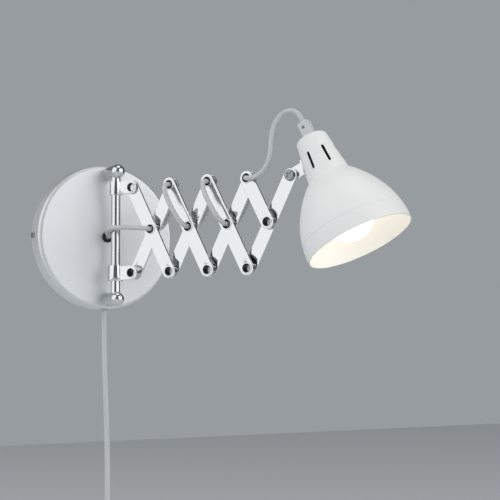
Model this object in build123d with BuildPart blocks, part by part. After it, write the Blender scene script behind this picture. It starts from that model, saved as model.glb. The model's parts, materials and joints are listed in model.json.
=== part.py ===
"""Wall lamp on a scissor arm that swings round an upright rod.

The wall is the plane Y = 0, the lamp stands out from it towards -Y, Z is up and X points right.
The origin is the middle of the canopy's back, on the wall. Lengths are millimetres, angles degrees.
"""
import os
from math import atan2, cos, degrees, pi, radians, sin, sqrt, tan

from build123d import *

os.makedirs("parts", exist_ok=True)

# Fits
press_gap = 0.02        # radial gap of pieces that are pressed or crimped together
running_gap = 0.06      # radial gap of a pin that turns or slides in its hole
side_gap = 0.1          # gap between flat faces that slide past each other
screw_gap = 0.2         # radial gap of a screw in a clearance hole

# Canopy, bracket and wall screws
canopy_radius = 70.0
canopy_depth = 20.0
canopy_edge = 4.0
canopy_wall = 1.2
bracket_height = 24.0
bracket_thickness = 1.6
bracket_end_gap = 0.4
ear_depth = 12.0
wall_slot_spacing = 84.0
wall_slot_length = 12.0
wall_slot_width = 5.0
side_screw_depth = 6.0          # side screws, measured out from the wall
side_screw_radius = 1.95
side_screw_length = 7.0
side_screw_head_radius = 3.2
side_screw_head_height = 1.8
screw_slot_width = 1.0
screw_slot_depth = 0.8

# Terminal block
block_start = 13.0
block_size = (20.0, 12.0, 10.0)
block_screw_radius = 1.7
block_screw_depth = 1.2
block_screw_pitch = (10.0, 6.0)

# Posts and rod
post_inset = 9.0                # posts in from the canopy's rim
post_height = canopy_radius - post_inset
post_radius = 6.7
post_screw_radius = 2.4
post_screw_grip = 10.0
post_screw_head_radius = 4.5
post_screw_head_height = 2.6
rod_standoff = 39.8             # rod axis from the wall
rod_radius = 4.5
post_dome_lead = 4.2            # centre of a post's domed end beyond the rod axis
post_dome_centre = rod_standoff + post_dome_lead

# Scissor arm
swing_rest = 59.5               # arm's direction, turned from the wall
fold_rest = 27.2                # links turned from upright
link_span = 1.5 * post_height   # between the end pivots of a whole link
link_width = 13.2
link_thickness = 2.0
layer_gap = 3.4                 # between the front and the rear links
front_layer_back = -1.15        # back face of the front links, from the rod axis
clamp_drop = 16.33              # upper clamp's pivot below the upper post
top_pivot_height = post_height - clamp_drop
clamp_reach = 19.4              # rod axis to the clamps' pivots
upper_sleeve_radius = 6.15
upper_sleeve_height = 12.4
lower_sleeve_radius = 7.6
lower_sleeve_height = 15.0
tab_thickness = 1.6
tab_gap = 0.2
upper_tab_radius = 6.0
lower_tab_radius = 6.8
rivet_radius = 3.9
rivet_bore_radius = 3.2
flange_radius = 5.0
flange_thickness = 0.6
spacer_radius = 4.9

# Lamp joint and head bracket
joint_screw_radius = 2.5
joint_head_radius = 5.0
joint_head_height = 2.6
joint_head_round = 1.2
recess_width = 1.4
recess_span = 6.0
recess_depth = 1.2
joint_washer_radius = 5.4
joint_washer_thickness = 0.5
joint_nut_width = 8.0
joint_nut_height = 4.0
joint_screw_end = 0.6
strip_thickness = 1.6
strip_radius = 6.0
saddle_half_angle = 15.0
saddle_gap = 0.05

# Shade, measured down its axis from the top of the neck
head_tilt = 26.5                # shade axis, turned outwards from straight down
joint_to_axis = 32.3
joint_drop = 19.35
shade_side_shift = 1.0          # shade axis behind the front face of the rear links
shade_wall = 1.0
neck_top_radius = 14.06
neck_end_radius = 19.4
neck_length = 39.7
neck_round = 3.0
bell_start_angle = 47.0
bell_middle = (40.4, 68.0)      # radius and drop
rim_radius = 48.3
shade_height = 105.0
rim_band = 14.5
rim_groove_radius = 0.45
vent_count = 7
vent_first_angle = -8.4         # turned from the front of the arm
vent_start = 15.3
vent_length = 17.0
vent_width = 2.8

# Cord grip, lamp holder and bulb
grip_width = 10.6
grip_height = 16.2
grip_corner = 2.4
grip_stud_radius = 4.95
grip_stud_length = 9.0
grip_seat = 4.0                 # end of the cord above the neck
grip_wire_radius = 1.6
grip_screw_radius = 1.5
grip_screw_height = 10.4
grip_screw_depth = 2.4
grip_nut_width = 14.0
grip_nut_height = 3.0
neck_hole_gap = 0.15
holder_gap = 0.66               # lamp holder to the top of the neck's wall
holder_radius = neck_top_radius - shade_wall - holder_gap
holder_length = 43.0
bulb_contact_drop = 26.0        # seat of the bulb's cap below the neck top
cap_radius = 6.9
cap_show = 4.0                  # end of the cap below the lamp holder
cap_tip_radius = 2.5
cap_tip_height = 2.0
cap_gap = 0.3
bulb_radius = 22.5
bulb_reach = 28.5               # middle of the glass below the cap's end
bulb_shoulder_angle = 40.0
bulb_wall = 1.0

# Cords and the pieces on them
arm_cord_radius = 2.3
mains_cord_radius = 2.6
cord_gap = 0.15
arm_bush_radius = 4.45
arm_bush_flange_radius = 5.5
arm_bush_flange = 1.2
arm_bush_length = 3.6
mains_exit_depth = 0.625 * canopy_depth
mains_bush_radius = 4.25
mains_bush_flange_radius = 5.0
mains_bush_flange = 2.0
mains_bush_lift = 0.5
grip_lead = 7.4                 # straight run of the arm cord above the grip
switch_drop = 200.0             # end of the mains cord below the canopy
mains_drift = 4.5               # how far to the right the mains cord hangs
switch_length = 58.0
switch_width = 26.0
switch_depth = 18.0
switch_round = 5.0
cord_seat = 4.0                 # depth of the cord in the switch and plug
rocker_length = 20.0
rocker_width = 12.0
rocker_gap = 0.4
rocker_tilt = 8.0
rocker_axle_radius = 1.2
rocker_axle_length = 2.0
rocker_pivot_depth = 4.0        # below the switch's front face
rocker_rise = 2.2
rocker_pocket_depth = 9.0
coil_outer_radius = 40.0
coil_gap = 0.7
coil_pitch = 2 * mains_cord_radius + coil_gap
coil_half_turns = 7
coil_lead = 8.0
coil_lead_radius = 25.0
coil_tail = 33.0
tie_height = 6.0
tie_thickness = 1.2
tie_gap = 0.5
plug_length = 36.0
plug_width = 35.0
plug_neck_width = 11.0
plug_thickness = 13.6
plug_shoulder = 13.0
plug_round = 3.0
pin_radius = 2.0
pin_length = 19.0
pin_seat = 5.0
pin_spacing = 18.8
pin_round = 1.2

# The arm's plane: x along the arm, y up, z towards the front of the arm
arm_out = Vector(cos(radians(swing_rest)), -sin(radians(swing_rest)), 0)
arm_front = Vector(-sin(radians(swing_rest)), -cos(radians(swing_rest)), 0)
arm_plane = Plane(origin=(0, -rod_standoff, 0), x_dir=arm_out, z_dir=arm_front)
wall = Plane(origin=(0, 0, 0), x_dir=(1, 0, 0), z_dir=(0, -1, 0))

front_face = front_layer_back + link_thickness
rear_face = front_layer_back - layer_gap
rear_back = rear_face - link_thickness
tab_back = front_face + tab_gap
tab_front = tab_back + tab_thickness
meeting = (front_layer_back + rear_face) / 2

column_pitch = link_span * sin(radians(fold_rest))
column_height = link_span * cos(radians(fold_rest))
bottom_pivot_height = top_pivot_height - column_height
top = [Vector(clamp_reach + k * column_pitch, top_pivot_height) for k in range(5)]
bottom = [Vector(clamp_reach + k * column_pitch, bottom_pivot_height) for k in range(5)]
cross = [(top[k] + bottom[k + 1]) / 2 for k in range(4)]
lamp_joint = top[4]


def arm_point(a, z, n):
    """Place in the room of a point given along the arm, up and towards the arm's front."""
    return arm_plane.from_local_coords(Vector(a, z, n))


def save(piece, name):
    """Label a finished piece and write it."""
    piece.part.label = name
    export_step(piece.part, f"parts/{name}.step")


# Canopy: a pressed round cover, open at the wall
face_radius = canopy_radius - canopy_edge
inner_radius = canopy_radius - canopy_wall
edge_start = canopy_depth - canopy_edge
inner_face = canopy_depth - canopy_wall
with BuildPart() as canopy:
    with BuildSketch(Plane.XY):
        with BuildLine():
            Polyline((0, -inner_face), (0, -canopy_depth), (face_radius, -canopy_depth))
            RadiusArc((face_radius, -canopy_depth), (canopy_radius, -edge_start), -canopy_edge)
            Polyline((canopy_radius, -edge_start), (canopy_radius, 0), (inner_radius, 0), (inner_radius, -edge_start))
            RadiusArc((inner_radius, -edge_start), (face_radius, -inner_face), canopy_edge - canopy_wall)
            Line((face_radius, -inner_face), (0, -inner_face))
        make_face()
    revolve(axis=Axis.Y)
    with BuildSketch(wall.offset(inner_face)):
        Circle(arm_bush_radius + press_gap)
        with Locations((0, post_height), (0, -post_height)):
            Circle(post_screw_radius + screw_gap)
    extrude(amount=canopy_wall, mode=Mode.SUBTRACT)
    with BuildSketch(Plane.XY.offset(-canopy_radius)):
        with Locations((0, -mains_exit_depth)):
            Circle(mains_bush_radius + press_gap)
    extrude(amount=canopy_edge, mode=Mode.SUBTRACT)
    with BuildSketch(Plane.YZ):
        with Locations((-side_screw_depth, 0)):
            Circle(side_screw_radius + screw_gap)
    extrude(amount=canopy_radius, both=True, mode=Mode.SUBTRACT)
save(canopy, "canopy")

# Wall bracket: a strip with turned-up ears, slotted for two wall screws
ear_outside = inner_radius - bracket_end_gap
with BuildPart() as wall_bracket:
    with BuildSketch(wall):
        Rectangle(2 * sqrt(ear_outside**2 - (bracket_height / 2)**2), bracket_height)
        with Locations((wall_slot_spacing / 2, 0), (-wall_slot_spacing / 2, 0)):
            SlotOverall(wall_slot_length, wall_slot_width, mode=Mode.SUBTRACT)
    extrude(amount=bracket_thickness)
    ear_x = sqrt(ear_outside**2 - (bracket_height / 2)**2) - bracket_thickness / 2
    with BuildSketch(wall):
        with Locations((ear_x, 0), (-ear_x, 0)):
            Rectangle(bracket_thickness, bracket_height)
    extrude(amount=ear_depth)
    with BuildSketch(Plane.YZ):
        with Locations((-side_screw_depth, 0)):
            Circle(side_screw_radius + press_gap)
    extrude(amount=canopy_radius, both=True, mode=Mode.SUBTRACT)
save(wall_bracket, "wall_bracket")

# Side screws through the canopy's rim into the ears
with BuildPart() as canopy_screws:
    for side in (1, -1):
        seat = Plane(origin=(side * canopy_radius, -side_screw_depth, 0), x_dir=(0, 0, 1), z_dir=(side, 0, 0))
        with BuildSketch(seat):
            Circle(side_screw_radius)
        extrude(amount=-side_screw_length)
        with BuildSketch(seat):
            Circle(side_screw_head_radius)
        extrude(amount=side_screw_head_height, taper=12)
        with BuildSketch(seat.offset(side_screw_head_height)):
            Rectangle(2 * side_screw_head_radius, screw_slot_width)
        extrude(amount=-screw_slot_depth, mode=Mode.SUBTRACT)
save(canopy_screws, "canopy_screws")

# Terminal block on the bracket, with its brass screws
block_length, block_height, block_depth = block_size
block_middle = (block_start + block_length / 2, 0)
block_front = wall.offset(bracket_thickness + block_depth)
with BuildPart() as terminal_block:
    with BuildSketch(wall.offset(bracket_thickness)):
        with Locations(block_middle):
            RectangleRounded(block_length, block_height, 1)
    extrude(amount=block_depth)
    with BuildSketch(block_front):
        with Locations(block_middle):
            with GridLocations(*block_screw_pitch, 2, 2):
                Circle(block_screw_radius + press_gap)
    extrude(amount=-2 * block_screw_depth, mode=Mode.SUBTRACT)
save(terminal_block, "terminal_block")

with BuildPart() as terminal_screws:
    with BuildSketch(block_front.offset(-2 * block_screw_depth)):
        with Locations(block_middle):
            with GridLocations(*block_screw_pitch, 2, 2):
                Circle(block_screw_radius)
    extrude(amount=block_screw_depth)
save(terminal_screws, "terminal_screws")

# Posts: round studs with domed ends, bored for the rod
for name, side in (("upper_post", 1), ("lower_post", -1)):
    with BuildPart() as post:
        with BuildSketch(wall.offset(canopy_depth)):
            with Locations((0, side * post_height)):
                Circle(post_radius)
        extrude(amount=post_dome_centre - canopy_depth)
        with Locations((0, -post_dome_centre, side * post_height)):
            Sphere(post_radius)
        with BuildSketch(Plane.XY.offset(side * post_height)):
            with Locations((0, -rod_standoff)):
                Circle(rod_radius + running_gap)
        extrude(amount=-side * 2 * post_radius, mode=Mode.SUBTRACT)
        with BuildSketch(wall.offset(canopy_depth)):
            with Locations((0, side * post_height)):
                Circle(post_screw_radius + press_gap)
        extrude(amount=post_screw_grip, mode=Mode.SUBTRACT)
    save(post, name)

with BuildPart() as post_screws:
    with BuildSketch(wall.offset(inner_face)):
        with Locations((0, post_height), (0, -post_height)):
            Circle(post_screw_head_radius)
    extrude(amount=-post_screw_head_height)
    with BuildSketch(wall.offset(inner_face)):
        with Locations((0, post_height), (0, -post_height)):
            Circle(post_screw_radius)
    extrude(amount=canopy_wall + post_screw_grip - side_gap)
save(post_screws, "post_screws")

# Rod: turns in the posts, with the upper clamp crimped on it
with BuildPart() as rod:
    with BuildSketch(Plane.XY.offset(-post_height + side_gap)):
        with Locations((0, -rod_standoff)):
            Circle(rod_radius)
    extrude(amount=2 * (post_height - side_gap))
save(rod, "rod")


def clamp(pivot, sleeve_radius, sleeve_height, tab_radius, bore_gap, hole_radius):
    """Sleeve round the rod with a flat tab that reaches to the pivot."""
    with BuildPart() as piece:
        with BuildSketch(Plane.XY.offset(pivot.Y - sleeve_height / 2)):
            with Locations((0, -rod_standoff)):
                Circle(sleeve_radius)
        extrude(amount=sleeve_height)
        with BuildSketch(arm_plane.offset(tab_back)):
            with Locations((pivot.X / 2, pivot.Y)):
                Rectangle(pivot.X, 2 * tab_radius)
            with Locations(pivot):
                Circle(tab_radius)
                Circle(hole_radius, mode=Mode.SUBTRACT)
        extrude(amount=tab_thickness)
        with BuildSketch(Plane.XY.offset(pivot.Y - sleeve_height / 2)):
            with Locations((0, -rod_standoff)):
                Circle(rod_radius + bore_gap)
        extrude(amount=sleeve_height, mode=Mode.SUBTRACT)
    return piece


upper_clamp = clamp(
    top[0], upper_sleeve_radius, upper_sleeve_height, upper_tab_radius, press_gap, rivet_radius + running_gap
)
save(upper_clamp, "upper_clamp")
lower_clamp = clamp(
    bottom[0], lower_sleeve_radius, lower_sleeve_height, lower_tab_radius, running_gap, rivet_radius + press_gap
)
save(lower_clamp, "lower_clamp")


def flat_link(back, start, end, holes):
    """Flat bar with round ends between two pivots, bored at each (pivot, radius) of holes."""
    reach = end - start
    with BuildPart() as piece:
        with BuildSketch(arm_plane.offset(back)):
            with Locations((start + end) / 2):
                SlotCenterToCenter(reach.length, link_width, rotation=degrees(atan2(reach.Y, reach.X)))
            for pivot, radius in holes:
                with Locations(pivot):
                    Circle(radius, mode=Mode.SUBTRACT)
        extrude(amount=link_thickness)
    return piece


def hollow_rivets(pivots):
    """Tubular rivets, flanged at both ends, each given as (pivot, back, front) of what it holds."""
    with BuildPart() as piece:
        for pivot, back, front in pivots:
            with BuildSketch(arm_plane.offset(back)):
                with Locations(pivot):
                    Circle(rivet_radius)
            extrude(amount=front - back)
            with BuildSketch(arm_plane.offset(back), arm_plane.offset(front - flange_thickness)):
                with Locations(pivot):
                    Circle(flange_radius)
            extrude(amount=flange_thickness)
            with BuildSketch(arm_plane.offset(back)):
                with Locations(pivot):
                    Circle(rivet_bore_radius)
            extrude(amount=front - back, mode=Mode.SUBTRACT)
    return piece


def spacers(pivots, back, front):
    """Plain rings round the rivets."""
    with BuildPart() as piece:
        with BuildSketch(arm_plane.offset(back)):
            for pivot in pivots:
                with Locations(pivot):
                    Circle(spacer_radius)
                    Circle(rivet_radius + press_gap, mode=Mode.SUBTRACT)
        extrude(amount=front - back)
    return piece


# Links: each front link carries its rivets and spacers, the rear links and the clamps turn on them
held = rivet_radius + press_gap
turning = rivet_radius + running_gap
rivet_back = rear_back - side_gap - flange_thickness
rivet_front = front_face + flange_thickness
for k in range(4):
    whole = k < 3
    front_end = bottom[k + 1] if whole else cross[k]
    front_pivots = [top[k], cross[k]] + ([bottom[k + 1]] if whole else [])
    front_link = flat_link(front_layer_back, top[k], front_end, [(pivot, held) for pivot in front_pivots])
    save(front_link, f"front_link_{k + 1}")

    far_hole = turning if whole else joint_screw_radius + running_gap
    rear_holes = [(bottom[k], turning), (cross[k], turning), (top[k + 1], far_hole)]
    rear_link = flat_link(rear_back, bottom[k], top[k + 1], rear_holes)
    save(rear_link, f"rear_link_{k + 1}")

    layered = front_pivots if k else front_pivots[1:]
    rivets = [(pivot, rivet_back, rivet_front) for pivot in layered]
    if k == 0:
        tab_rivet_back = front_layer_back - side_gap - flange_thickness
        rivets.append((top[0], tab_rivet_back, tab_front + side_gap + flange_thickness))
    save(hollow_rivets(rivets), f"front_rivets_{k + 1}")
    save(spacers(layered, rear_face + side_gap, front_layer_back), f"link_spacers_{k + 1}")

lower_clamp_rivet = hollow_rivets([(bottom[0], rivet_back, tab_front + flange_thickness)])
save(lower_clamp_rivet, "lower_clamp_rivet")
lower_clamp_bush = spacers([bottom[0]], rear_face + side_gap, tab_back)
save(lower_clamp_bush, "lower_clamp_bush")

# Lamp joint: a cross-head screw clamps the head bracket behind the last rear link
washer_back = rear_back - joint_washer_thickness
strip_back = washer_back - strip_thickness
nut_back = strip_back - joint_nut_height
with BuildPart() as joint_screw:
    with BuildSketch(arm_plane.offset(rear_face)):
        with Locations(lamp_joint):
            Circle(joint_head_radius)
    extrude(amount=joint_head_height)
    fillet(joint_screw.faces().sort_by(Axis((0, 0, 0), arm_front))[-1].edges(), joint_head_round)
    with BuildSketch(arm_plane.offset(rear_face + joint_head_height)):
        with Locations(lamp_joint):
            Rectangle(recess_span, recess_width, rotation=45)
            Rectangle(recess_span, recess_width, rotation=-45)
    extrude(amount=-recess_depth, mode=Mode.SUBTRACT)
    with BuildSketch(arm_plane.offset(rear_face)):
        with Locations(lamp_joint):
            Circle(joint_screw_radius)
    extrude(amount=nut_back - joint_screw_end - rear_face)
save(joint_screw, "joint_screw")

with BuildPart() as joint_washer:
    with BuildSketch(arm_plane.offset(washer_back)):
        with Locations(lamp_joint):
            Circle(joint_washer_radius)
            Circle(joint_screw_radius + running_gap, mode=Mode.SUBTRACT)
    extrude(amount=joint_washer_thickness)
save(joint_washer, "joint_washer")

with BuildPart() as joint_nut:
    with BuildSketch(arm_plane.offset(nut_back)):
        with Locations(lamp_joint):
            RegularPolygon(joint_nut_width / 2, 6, major_radius=False)
            Circle(joint_screw_radius + press_gap, mode=Mode.SUBTRACT)
    extrude(amount=joint_nut_height)
save(joint_nut, "joint_nut")

# Head planes: x away from the wall across the shade, y up its axis, z towards the arm's front
tilt = radians(head_tilt)
shade_layer = rear_face - shade_side_shift
neck_a = lamp_joint.X + joint_to_axis * cos(tilt) - joint_drop * sin(tilt)
neck_z = lamp_joint.Y + joint_to_axis * sin(tilt) + joint_drop * cos(tilt)
neck_top = arm_point(neck_a, neck_z, shade_layer)
head_across = arm_out * cos(tilt) + Vector(0, 0, 1) * sin(tilt)
head_up = Vector(0, 0, 1) * cos(tilt) - arm_out * sin(tilt)
head_side = Plane(origin=neck_top, x_dir=head_across, z_dir=arm_front)
head_level = Plane(origin=neck_top, x_dir=head_across, z_dir=head_up)
head_axis = Axis(neck_top, head_up)


def neck_radius_at(drop):
    """Outside radius of the neck at a drop below its top."""
    return neck_top_radius + (neck_end_radius - neck_top_radius) * drop / neck_length


# Shade: spun metal neck and bell in one wall, vented round the neck
bell_lean = (sin(radians(bell_start_angle)), -cos(radians(bell_start_angle)))
with BuildPart() as shade:
    with BuildSketch(head_side):
        with BuildLine():
            FilletPolyline(
                (0, 0), (neck_top_radius, 0), (neck_end_radius, -neck_length), radius=neck_round
            )
            upper_bell = TangentArc(
                (neck_end_radius, -neck_length), (bell_middle[0], -bell_middle[1]), tangent=bell_lean
            )
            lower_bell = TangentArc(upper_bell @ 1, (rim_radius, -shade_height), tangent=upper_bell % 1)
            Polyline((rim_radius, -shade_height), (0, -shade_height), (0, 0))
        make_face()
    revolve(axis=head_axis)
    mouth = shade.faces().sort_by(head_axis)[0]
    offset(amount=-shade_wall, openings=mouth, kind=Kind.INTERSECTION)
    with BuildSketch(head_side):
        with Locations(lower_bell @ (1 - rim_band / lower_bell.length)):
            Circle(rim_groove_radius)
    revolve(axis=head_axis, mode=Mode.SUBTRACT)
    for k in range(vent_count):
        turn = radians(vent_first_angle + k * 360 / vent_count)
        facing = arm_front * cos(turn) + head_across * sin(turn)
        vent_middle = neck_top - head_up * (vent_start + vent_length / 2)
        with BuildSketch(Plane(origin=vent_middle, x_dir=head_up, z_dir=facing)):
            SlotOverall(vent_length, vent_width)
        extrude(amount=neck_end_radius, mode=Mode.SUBTRACT)
    with BuildSketch(head_level):
        Circle(grip_stud_radius + neck_hole_gap)
    extrude(amount=-shade_wall, mode=Mode.SUBTRACT)
save(shade, "shade")

# Head bracket: a flat strip on the joint screw, ending in a saddle that hugs the neck
saddle_top = joint_drop - strip_radius
saddle_end = joint_drop + strip_radius
saddle_inside = [neck_radius_at(drop) + saddle_gap for drop in (saddle_top, saddle_end)]
strip_end = [radius + strip_thickness / 2 for radius in saddle_inside]
saddle_start = (head_across * -1).rotate(Axis((0, 0, 0), head_up), -saddle_half_angle)
saddle_plane = Plane(origin=neck_top, x_dir=saddle_start, z_dir=saddle_start.cross(head_up))
with BuildPart() as head_bracket:
    with BuildSketch(head_side.offset(strip_back - shade_layer)):
        with BuildLine():
            Polyline(
                (-joint_to_axis, -saddle_top),
                (-strip_end[0], -saddle_top),
                (-strip_end[1], -saddle_end),
                (-joint_to_axis, -saddle_end),
                close=True,
            )
        make_face()
        with Locations((-joint_to_axis, -joint_drop)):
            Circle(strip_radius)
            Circle(joint_screw_radius + running_gap, mode=Mode.SUBTRACT)
    extrude(amount=strip_thickness)
    with BuildSketch(saddle_plane):
        with BuildLine():
            Polyline(
                (saddle_inside[0], -saddle_top),
                (saddle_inside[0] + strip_thickness, -saddle_top),
                (saddle_inside[1] + strip_thickness, -saddle_end),
                (saddle_inside[1], -saddle_end),
                close=True,
            )
        make_face()
    revolve(axis=head_axis, revolution_arc=2 * saddle_half_angle)
save(head_bracket, "head_bracket")

# Cord grip: moulded block on the neck, its hollow stud passing through into the lamp holder
grip_front = head_side.offset(grip_width / 2)
bore = arm_cord_radius + cord_gap
with BuildPart() as cord_grip:
    with BuildSketch(head_level):
        RectangleRounded(grip_width, grip_width, grip_corner)
    extrude(amount=grip_height)
    fillet(cord_grip.faces().sort_by(head_axis)[-1].edges(), grip_corner / 2)
    with BuildSketch(head_level):
        Circle(grip_stud_radius)
    extrude(amount=-grip_stud_length)
    with BuildSketch(head_level.offset(grip_seat)):
        Circle(bore)
    extrude(amount=grip_height - grip_seat, mode=Mode.SUBTRACT)
    with BuildSketch(head_level.offset(grip_seat)):
        Circle(grip_wire_radius)
    extrude(amount=-grip_seat - grip_stud_length, mode=Mode.SUBTRACT)
    with BuildSketch(grip_front):
        with Locations((0, grip_screw_height)):
            Circle(grip_screw_radius + press_gap)
    extrude(amount=-grip_width / 2, mode=Mode.SUBTRACT)
save(cord_grip, "cord_grip")

with BuildPart() as grip_screw:
    with BuildSketch(head_side.offset(bore)):
        with Locations((0, grip_screw_height)):
            Circle(grip_screw_radius)
    extrude(amount=grip_screw_depth - screw_slot_depth)
    with BuildSketch(head_side.offset(bore + grip_screw_depth - screw_slot_depth)):
        with Locations((0, grip_screw_height)):
            Rectangle(2 * grip_screw_radius, screw_slot_width / 2)
    extrude(amount=-screw_slot_depth, mode=Mode.SUBTRACT)
save(grip_screw, "grip_screw")

with BuildPart() as grip_nut:
    with BuildSketch(head_level.offset(-shade_wall)):
        RegularPolygon(grip_nut_width / 2, 6, major_radius=False)
        Circle(grip_stud_radius + press_gap, mode=Mode.SUBTRACT)
    extrude(amount=-grip_nut_height)
save(grip_nut, "grip_nut")

# Lamp holder on the grip's stud, and the bulb screwed into it
holder_top = shade_wall + grip_nut_height
stud_hold = grip_stud_length - holder_top
with BuildPart() as lamp_holder:
    with BuildSketch(head_level.offset(-holder_top)):
        Circle(holder_radius)
    extrude(amount=-holder_length)
    with BuildSketch(head_level.offset(-holder_top)):
        Circle(grip_stud_radius + press_gap)
    extrude(amount=-stud_hold - side_gap, mode=Mode.SUBTRACT)
    with BuildSketch(head_level.offset(-bulb_contact_drop)):
        Circle(cap_radius + cap_gap)
    extrude(amount=bulb_contact_drop - holder_top - holder_length, mode=Mode.SUBTRACT)
save(lamp_holder, "lamp_holder")

cap_end = holder_top + holder_length + cap_show
bulb_centre_drop = cap_end + bulb_reach
with BuildPart() as bulb_cap:
    with BuildSketch(head_level.offset(-bulb_contact_drop)):
        Circle(cap_tip_radius)
    extrude(amount=-cap_tip_height)
    with BuildSketch(head_level.offset(-bulb_contact_drop - cap_tip_height)):
        Circle(cap_radius)
    extrude(amount=bulb_contact_drop + cap_tip_height - cap_end)
save(bulb_cap, "bulb_cap")

shoulder = radians(bulb_shoulder_angle)
bulb_shoulder = (bulb_radius * cos(shoulder), bulb_radius * sin(shoulder) - bulb_centre_drop)
with BuildPart() as bulb_glass:
    with BuildSketch(head_side):
        with BuildLine():
            Polyline((0, -bulb_centre_drop - bulb_radius), (0, -cap_end), (cap_radius, -cap_end))
            TangentArc(
                bulb_shoulder, (cap_radius, -cap_end), tangent=(-sin(shoulder), cos(shoulder))
            )
            ThreePointArc(
                bulb_shoulder, (bulb_radius, -bulb_centre_drop), (0, -bulb_centre_drop - bulb_radius)
            )
        make_face()
    revolve(axis=head_axis)
    offset(amount=-bulb_wall, openings=bulb_glass.faces().sort_by(head_axis)[-1])
save(bulb_glass, "bulb_glass")


def cord_radii(route):
    """Largest fillet of each corner of a cord's route that leaves its straight runs a tenth."""
    radii = []
    for before, point, after in zip(route, route[1:], route[2:]):
        run_in = Vector(point) - Vector(before)
        run_out = Vector(after) - Vector(point)
        turn = radians(run_in.get_angle(run_out))
        radii.append(0.45 * min(run_in.length, run_out.length) / tan(turn / 2))
    return radii


def tube(path, radius):
    """Round tube along the path."""
    with BuildPart() as piece:
        with BuildSketch(Plane(origin=path @ 0, z_dir=path % 0)):
            Circle(radius)
        sweep(path=path)
    return piece


def cord(name, route, radius):
    """Write a cord's tube along a route of straight runs and tangent arcs, and print its bends."""
    radii = cord_radii(route)
    with BuildLine() as line:
        FilletPolyline(*route, radius=radii)
    path = line.wires()[0]
    piece = tube(path, radius)
    save(piece, name)
    share = piece.part.volume / (pi * radius**2 * path.length)
    print(name, "length", round(path.length, 1), "volume share", round(share, 4))
    print("  radii in diameters", [round(bend / (2 * radius), 1) for bend in radii])
    return path.length


def between(start, end, shares):
    """Coordinates that lie a share of the way from start to end, one share for each axis."""
    return tuple(a + (b - a) * share for a, b, share in zip(start, end, shares))


# Bushes where the cords pass through the canopy
bush_front = canopy_depth + arm_bush_flange
with BuildPart() as arm_cord_bush:
    with BuildSketch(wall.offset(bush_front - arm_bush_length)):
        Circle(arm_bush_radius)
    extrude(amount=arm_bush_length)
    with BuildSketch(wall.offset(canopy_depth)):
        Circle(arm_bush_flange_radius)
    extrude(amount=arm_bush_flange)
    with BuildSketch(wall.offset(bush_front - arm_bush_length)):
        Circle(arm_cord_radius + cord_gap)
    extrude(amount=arm_bush_length, mode=Mode.SUBTRACT)
save(arm_cord_bush, "arm_cord_bush")

bush_floor = -inner_radius + mains_bush_lift
with BuildPart() as mains_bush:
    with BuildSketch(Plane.XY.offset(bush_floor)):
        with Locations((0, -mains_exit_depth)):
            Circle(mains_bush_flange_radius)
    extrude(amount=mains_bush_flange)
    with BuildSketch(Plane.XY.offset(-canopy_radius)):
        with Locations((0, -mains_exit_depth)):
            Circle(mains_bush_radius)
    extrude(amount=bush_floor + canopy_radius)
    with BuildSketch(Plane.XY.offset(-canopy_radius)):
        with Locations((0, -mains_exit_depth)):
            Circle(mains_cord_radius + cord_gap)
    extrude(amount=bush_floor + mains_bush_flange + canopy_radius, mode=Mode.SUBTRACT)
save(mains_bush, "mains_bush")

# Arm cord: from the terminal block, round the rod, then in and out of the hollow rivets
entry_depth = bracket_thickness + block_depth / 2
cord(
    "arm_cord_tail",
    [(block_start, -entry_depth, 0), (0, -entry_depth, 0), (0, -bush_front, 0)],
    arm_cord_radius,
)
first_rivet = cross[0]
cord(
    "arm_cord_inlet",
    [
        (0, -bush_front, 0),
        (0, -bush_front - 2.25 * arm_cord_radius, 0),
        (-1.78 * rod_radius, 1.16 * rod_radius - rod_standoff, 0.9 * first_rivet.Y),
        (-2.13 * rod_radius, -0.89 * rod_radius - rod_standoff, 1.41 * first_rivet.Y),
        (-0.93 * rod_radius, -2.49 * rod_radius - rod_standoff, 1.61 * first_rivet.Y),
        arm_point(0.45 * first_rivet.X, 1.56 * first_rivet.Y, front_face + 2.76 * arm_cord_radius),
        arm_point(0.717 * first_rivet.X, 1.31 * first_rivet.Y, front_face + 2.5 * arm_cord_radius),
        arm_point(0.905 * first_rivet.X, 1.11 * first_rivet.Y, front_face + 2.07 * arm_cord_radius),
        arm_point(first_rivet.X, first_rivet.Y, front_face + 0.7 * arm_cord_radius),
        arm_point(first_rivet.X, first_rivet.Y, meeting),
    ],
    arm_cord_radius,
)

# Bows along the links, in cord radii: distance from the first pivot or back from the second, height
# off the link's face, and swing towards the wall
rear_rise = [(0, 1.7, 0), (0.9, 4.0, 0), (3.6, 5.6, 0), (8.2, 6.3, 0)]
rear_fall = [(7.6, 6.2, 0), (3.3, 5.2, 0), (0.8, 3.3, 0), (0, 1.3, 0)]
front_rise = [(0, 1.35, 0), (0.9, 2.9, 0.55), (3.4, 4.0, 1.0), (8.2, 4.4, 1.15)]
front_fall = [(7.6, 4.75, 0.8), (3.3, 4.45, 0.35), (0.8, 3.0, 0.05), (0, 1.2, 0)]


def span_route(start, end, face, side, rise, fall):
    """Route along a link from one pivot to the next, bowed off its face."""
    along = (end - start).normalized()
    spots = [start + along * distance * arm_cord_radius for distance, height, swing in rise]
    spots += [end - along * distance * arm_cord_radius for distance, height, swing in fall]
    route = [arm_point(start.X, start.Y, meeting)]
    for spot, (distance, height, swing) in zip(spots, rise + fall):
        lift = side * height * arm_cord_radius
        route.append(arm_point(spot.X - swing * arm_cord_radius, spot.Y, face + lift))
    return route + [arm_point(end.X, end.Y, meeting)]


for k in range(3):
    rear_route = span_route(cross[k], top[k + 1], rear_back, -1, rear_rise, rear_fall)
    cord(f"arm_cord_rear_{k + 1}", rear_route, arm_cord_radius)
for k in (1, 2):
    front_route = span_route(top[k], cross[k], front_face, 1, front_rise, front_fall)
    cord(f"arm_cord_front_{k + 1}", front_route, arm_cord_radius)

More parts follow.
